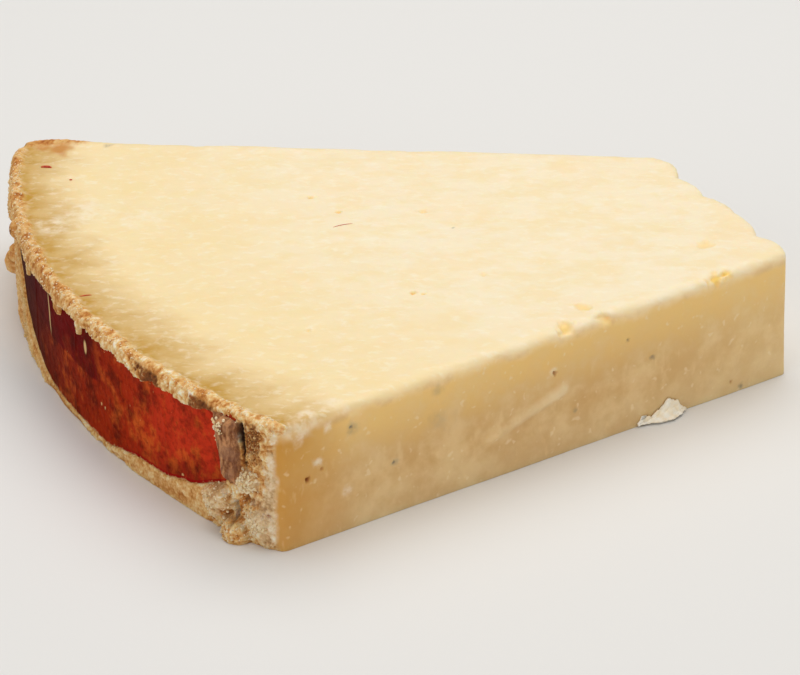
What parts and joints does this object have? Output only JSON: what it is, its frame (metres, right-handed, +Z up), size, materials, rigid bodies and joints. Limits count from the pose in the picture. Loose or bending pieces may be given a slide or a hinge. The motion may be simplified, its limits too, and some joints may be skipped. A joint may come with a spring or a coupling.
{
  "type": "laguiole cheese",
  "caption": "Cut piece of pressed laguiole cheese with pale crumbly paste, a craggy rind and a red label on the rind.",
  "frame": {"origin": "middle of the bounding box on the underside, where the cheese rests", "axes": "+Z up, +X from the rind towards the broken tip, +Y towards the back cut; the front cut and the label face -Y"},
  "size_m": [0.1744, 0.1372, 0.0298],
  "materials": {
    "paste": "pale yellow pressed curd, waxy and slightly translucent, darker and more amber beside the rind",
    "rind": "dry granular crust, cream to ochre and brown",
    "label": null
  },
  "bodies": {
    "root": {"cheese": "paste", "label": "label"}
  },
  "joints": []
}
